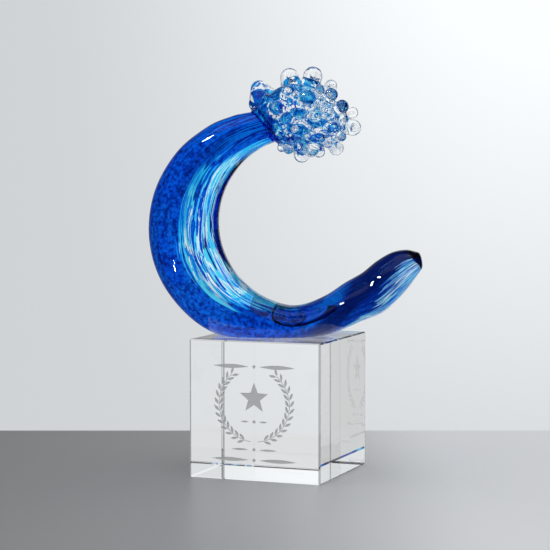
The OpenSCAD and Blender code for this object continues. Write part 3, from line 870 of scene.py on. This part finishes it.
def make_surroundings(scene):
    """A pale sweep that grows lighter to the right, and a studio for the glass to bend."""
    world = bpy.data.worlds.new("Studio")
    scene.world = world
    world.use_nodes = True
    tree = Tree(world.node_tree, "ShaderNodeOutputWorld")
    direction = tree.value("ShaderNodeTexCoord", output="Generated")
    right, ahead = level_axes()
    across, up, away = (tree.along(direction, axis) for axis in (right, (0, 0, 1), ahead))
    # The frame's half width, and how far down it starts and how tall it is, as unit directions
    half, bottom, tall = 0.141, 0.1455, 0.221
    lit = ((across + half) / (2 * half)).step(0.0, 1.0)
    high = ((up + bottom) / tall).held()
    level = 0.645 + lit * (0.08 + high * 0.31)
    sweep = tree.mix(level, (0.0, 0.0, 0.0), (0.975, 1.01, 1.03))
    # The rest of the studio, for the glass to bend: a bright dome with dark gaps, dim behind
    turn = tree.value("ShaderNodeMath", {"operation": "ARCTAN2"}, {0: across, 1: away})
    behind, steep = turn.magnitude().step(1.70, 2.10), up.magnitude().step(0.26, 0.34)
    dome = 0.98 + steep * 0.17 - behind * (0.72 + steep * 0.33)
    for middle, wide in ((1.08, 0.06), (-1.02, 0.035), (1.62, 0.12), (-1.62, 0.12)):
        dome = dome * (1 - turn.band(middle - wide, middle + wide, 0.02) * 0.93)
    dome = dome * (1 - turn.band(0.45, 0.95, 0.06) * 0.20)
    card = turn.band(-2.60, -2.20, 0.03) * up.band(-0.30, 0.30, 0.03)
    dome = dome.at_least(card * 0.95)
    # Its polished skin reflects a dark room with one soft light overhead
    overhead = up.step(0.80, 0.90) * 0.30 + 0.02
    is_camera, is_diffuse, is_glossy, is_through = tree.rays(
        "Camera", "Diffuse", "Glossy", "Transmission")
    is_glossy = is_glossy * (1 - is_through)
    near_sweep = away.step(0.80, 0.88) * is_glossy + away.step(0.960, 0.982) * (1 - is_glossy)
    near_sweep = near_sweep * (1 - up.step(0.40, 0.50))
    mirrored = 0.12 + ((across + 0.10) / (half + 0.10)).held() * 0.55
    level = level * (1 - is_glossy) * 1.16 + mirrored * is_glossy
    room = dome * (1 - is_glossy) + overhead * is_glossy
    seen = room * (1 - near_sweep) + level * near_sweep
    colour = tree.painted((0.0, 0.0, 0.0), (seen, (0.98, 1.0, 1.02)), (is_camera, sweep),
                          (is_diffuse, (0.72, 0.73, 0.74)))
    tree.end(tree.node("ShaderNodeBackground", {}, {"Color": colour, "Strength": 1.0}))


def make_lamps():
    """Soft lamps, small enough to leave the glints that the glass shows."""
    right, ahead = level_axes()
    up, middle = Vector((0, 0, 1)), Vector((0, 0, 0.13))
    # Name, where it hangs to the right, away and up, its width and height, its power
    lamps = (
        ("strip_left", -0.68, -0.29, 1.20, (0.26, 0.035), 0.45),
        ("glint_left", -0.30, -0.25, 0.03, (0.012, 0.02), 0.014),
        ("glint_low", -0.27, -0.27, 0.06, (0.010, 0.012), 0.007),
    )
    for name, across, along, high, size, power in lamps:
        lamp = bpy.data.lights.new(name, "AREA")
        lamp.shape, lamp.size, lamp.size_y, lamp.energy = "RECTANGLE", size[0], size[1], power
        lamp.spread = math.radians(40)
        made = linked(name, lamp)
        made.location = right * across + ahead * along + up * high
        made.rotation_euler = (middle - made.location).to_track_quat("-Z", "Y").to_euler()
        made.visible_camera = made.visible_diffuse = made.visible_transmission = False


class GLASSWAVE_OT_cube(bpy.types.Operator):
    """Gives the crystal cube its polished and frosted finish, and the bond its clear film"""

    bl_idname = "glass_wave.cube"
    bl_label = "Crystal Cube"

    def execute(self, context):
        show(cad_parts["crystal_cube"], self.crystal("optical_crystal"))
        show(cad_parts["bond_film"], make_film("clear_adhesive", adhesive_colour))
        return {"FINISHED"}

    def crystal(self, name):
        material, tree = new_material(name)
        place = tree.object_place()
        x, y, z = tree.parts(place)
        front = -CUBE_SIDE / 2 * MM
        deep = y.band(front + 0.5 * ETCH_DEPTH * MM, front + 1.5 * ETCH_DEPTH * MM, 0.00005)
        inside = x.band(-ETCH_HALF_WIDTH * MM, ETCH_HALF_WIDTH * MM, 0.0002) * z.band(
            ETCH_LOW * MM, ETCH_HIGH * MM, 0.0002)
        # Its ground upright edges are tinted dark: painted shade for the thin dark lines they show
        painted_edge_shade = (x.magnitude() + y.magnitude()).step(*(reach * MM for reach in EDGE_SHADE_REACH))
        clear = tree.glass(tree.mix(painted_edge_shade, (0.985, 0.995, 0.99), (0.24, 0.25, 0.25)), 1.517)
        grain = tree.noise(place, 2600.0, detail=2.0)
        frost = tree.principled({
            "Base Color": tree.mix(grain, (0.60, 0.61, 0.61), (0.70, 0.71, 0.71)),
            "Roughness": 0.7, "IOR": 1.3, "Normal": tree.bump(grain, 0.4, 0.0002)})
        tree.end(tree.either(deep * inside * 0.9, clear, frost))
        return material


class GLASSWAVE_OT_glass_body(bpy.types.Operator):
    """Blows the clear outer glass: wave, flare, crest and prunts as one fused skin"""

    bl_idname = "glass_wave.glass_body"
    bl_label = "Clear Glass Body"

    def execute(self, context):
        wave = WaveShape(context.scene.glass_wave_sizes)
        crest = CrestShape(wave)
        head = self.crest_head(crest, wave.sizes.crest_voxel * MM)
        arm = self.arm(wave)
        union = arm.modifiers.new("Join", "BOOLEAN")
        union.operation, union.solver, union.object = "UNION", "EXACT", head
        baked(arm)
        bpy.data.objects.remove(head)
        self.bubbles(arm, crest)
        arm.data.shade_smooth()
        arm.data.set_sharp_from_angle(angle=math.radians(38))
        self.mark_flanks(arm, crest)
        show(arm, make_clear_glass("fire_polished_glass", (0.975, 0.99, 0.995)))
        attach(arm, "root")
        prunts = [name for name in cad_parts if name.startswith("prunt_")]
        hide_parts("clear_casing", "clear_core", "crest_gather", *prunts)
        return {"FINISHED"}

    def mark_flanks(self, body, crest):
        """Marks the crest, and the sides of the beads over it that hold fine bubbles."""
        count = len(body.data.vertices)
        place = np.empty(count * 3, np.float32)
        body.data.vertices.foreach_get("co", place)
        place = place.reshape(-1, 3)
        flank = np.zeros(count, np.float32)
        for number, (turn, around, radius, drag, stand) in enumerate(crest.prunts()):
            if turn < SPECKLE_TURN or not (drag or number % 3 == 0):
                continue
            lift = radius * stand
            near, far, above = (crest.place(turn, around, *at) for at in (
                (lift, -drag / 2), (lift, drag / 2), (lift + 1,)))
            span = far - near
            share = np.clip((place - near) @ span / max(span @ span, 1e-12), 0, 1)[:, None]
            away = (place - near - share * span) / (radius * MM)
            height = away @ ((above - (near + far) / 2) / MM)
            out = np.linalg.norm(away, axis=1)
            ring = np.clip((0.35 - height) / 0.2, 0, 1) * np.clip((1.45 - out) / 0.15, 0, 1)
            flank = np.maximum(flank, ring)
        mark(body, "flank", flank)
        away = np.linalg.norm(place - crest.middle, axis=1)
        mark(body, "head", np.clip((0.032 - away) / 0.006, 0, 1))

    def bubbles(self, body, crest):
        """Air inside the larger beads, as hollows whose faces look inwards."""
        bm = bmesh.new()
        bm.from_mesh(body.data)
        draw = np.random.default_rng(11)
        for number, (turn, around, radius, drag, stand) in enumerate(crest.prunts()):
            size, lean = draw.uniform(0.45, 0.62) * radius, draw.uniform(-0.2, 0.2) * radius
            if radius < BUBBLE_RADIUS or (number >= len(RIM_PRUNTS) and number % 3):
                continue
            seat = crest.place(turn, around, radius * stand + 0.1 * radius, lean)
            verts = ball(bm, seat, size, squash=(1.0, 1.0, draw.uniform(0.65, 1.0)))
            faces = {face for vert in verts for face in vert.link_faces}
            bmesh.ops.reverse_faces(bm, faces=list(faces))
        bm.to_mesh(body.data)
        bm.free()

    def arm(self, wave, sides=96):
        rows = wave.smooth_rows(16, skip=6)
        angles = np.arange(sides) * 360.0 / sides
        points = wave.surface(rows, wave.sizes.skin, angles, SKIN_FLOOR).reshape(-1, 3)
        start, end = len(points), len(points) + 1
        first = (rows[0, 0:2] + rows[0, 2:4]) / 2
        verts = np.vstack([points, [[first[0], 0, first[1]]], [[wave.tip[0], 0, wave.tip[1]]]])
        faces = grid_faces(len(rows), sides)
        last = len(points) - sides
        faces += [(k, (k + 1) % sides, start) for k in range(sides)]
        faces += [(last + k, end, last + (k + 1) % sides) for k in range(sides)]
        return new_object("wave_glass", wave.placed(verts), faces)

    def crest_head(self, crest, voxel):
        """The crest, its beads and the flare as one skin, with low beads in the gaps."""
        bm = bmesh.new()
        egg_body(bm, crest)
        flare_body(bm, crest)
        for number, (turn, around, radius, drag, stand) in enumerate(crest.prunts()):
            lift = radius * stand
            near = crest.place(turn, around, lift, -drag / 2)
            foot = crest.place(turn, around, -2.0, -drag / 2)
            ball(bm, near, radius)
            limb(bm, foot, near, 1.1 * radius, 0.93 * radius)
            if number == SHOULDER_PRUNT:
                root = crest.place(turn + SHOULDER_TURN, around, 3.0)
                limb(bm, root, near, 1.1 * radius, 0.95 * radius)
                ball(bm, root, 1.1 * radius)
            if drag:
                far = crest.place(turn, around, lift, drag / 2)
                ball(bm, far, 0.8 * radius)
                limb(bm, near, far, 0.98 * radius, 0.8 * radius)
        for turn, around, radius in crest.fillers():
            ball(bm, crest.place(turn, around, 0.35 * radius), radius)
        return fused("crest_head", bm, voxel, smoothing=3)


class GLASSWAVE_OT_colour_layers(bpy.types.Operator):
    """Lays the cobalt overlay and the aqua streaks inside the clear casing"""

    bl_idname = "glass_wave.colour_layers"
    bl_label = "Colour Layers"

    def execute(self, context):
        wave = WaveShape(context.scene.glass_wave_sizes)
        colours = context.scene.glass_wave_colours
        inset = wave.sizes.layer_depth
        for name, node, slot, span in (
            ("cobalt_layer", "blue_overlay", "cobalt_glass", (0.0, 1.0)),
            ("streak_layer", "aqua_streak_layer", "aqua_glass", (1.0, 2.0)),
        ):
            layer = layer_strip(name, wave, inset, *span)
            show(layer, make_film(f"{name}_glass", lambda tree: layer_colour(tree, colours)))
            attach(layer, "root")
            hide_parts(node)
        return {"FINISHED"}


class GLASSWAVE_OT_crest_colour(bpy.types.Operator):
    """Makes the crest's blue core and the blue in its flare"""

    bl_idname = "glass_wave.crest_colour"
    bl_label = "Crest Colour"

    def execute(self, context):
        wave = WaveShape(context.scene.glass_wave_sizes)
        crest = CrestShape(wave)
        core = self.core(crest, wave.sizes.gather_wall)
        colours = context.scene.glass_wave_colours
        show(core, make_film("crest_blue_glass", lambda tree: crest_colour(tree, crest, colours)))
        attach(core, "root")
        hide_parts("crest_core", "neck_flare")
        return {"FINISHED"}

    def core(self, crest, wall):
        """Blue in the egg and the flare, with stubs that reach into the larger rim beads."""
        bm = bmesh.new()
        egg_body(bm, crest, wall)
        flare_body(bm, crest, inset=1.3)
        for number, (turn, around, radius, drag, stand) in enumerate(crest.prunts()):
            if radius > CORED_RADIUS and number < len(RIM_PRUNTS):
                low = crest.place(turn, around, -wall, -drag / 2)
                high = crest.place(turn, around, 0.35 * radius * stand, -drag / 2)
                limb(bm, low, high, 0.60 * radius, 0.45 * radius)
                ball(bm, high, 0.47 * radius, finer=2)
            if number == SHOULDER_PRUNT:
                low = crest.place(turn + SHOULDER_TURN, around, 1.0)
                high = crest.place(turn, around, radius * stand)
                limb(bm, low, high, 0.6 * radius, 0.6 * radius)
                ball(bm, high, 0.64 * radius)
        return fused("crest_blue_core", bm, 0.6 * MM, smoothing=4)


class GLASSWAVE_PT_panel(bpy.types.Panel):
    """Lists the sculpture's operators"""

    bl_idname = "GLASSWAVE_PT_panel"
    bl_label = "Glass Wave"
    bl_space_type = "VIEW_3D"
    bl_region_type = "UI"
    bl_category = "Glass Wave"

    def draw(self, context):
        column = self.layout.column()
        for operator in OPERATORS:
            column.operator(operator.bl_idname)
        for group in (context.scene.glass_wave_sizes, context.scene.glass_wave_colours):
            for name in group.__annotations__:
                column.prop(group, name)


OPERATORS = (
    GLASSWAVE_OT_stage, GLASSWAVE_OT_cube, GLASSWAVE_OT_glass_body, GLASSWAVE_OT_colour_layers,
    GLASSWAVE_OT_crest_colour,
)
CLASSES = (GlassWaveSizes, GlassWaveColours, *OPERATORS, GLASSWAVE_PT_panel)


def register():
    for cls in CLASSES:
        bpy.utils.register_class(cls)
    bpy.types.Scene.glass_wave_sizes = bpy.props.PointerProperty(type=GlassWaveSizes)
    bpy.types.Scene.glass_wave_colours = bpy.props.PointerProperty(type=GlassWaveColours)


def unregister():
    del bpy.types.Scene.glass_wave_colours
    del bpy.types.Scene.glass_wave_sizes
    for cls in reversed(CLASSES):
        bpy.utils.unregister_class(cls)


def main():
    register()
    for operator in OPERATORS:
        group, name = operator.bl_idname.split(".")
        getattr(getattr(bpy.ops, group), name)()


if __name__ == "__main__":
    main()
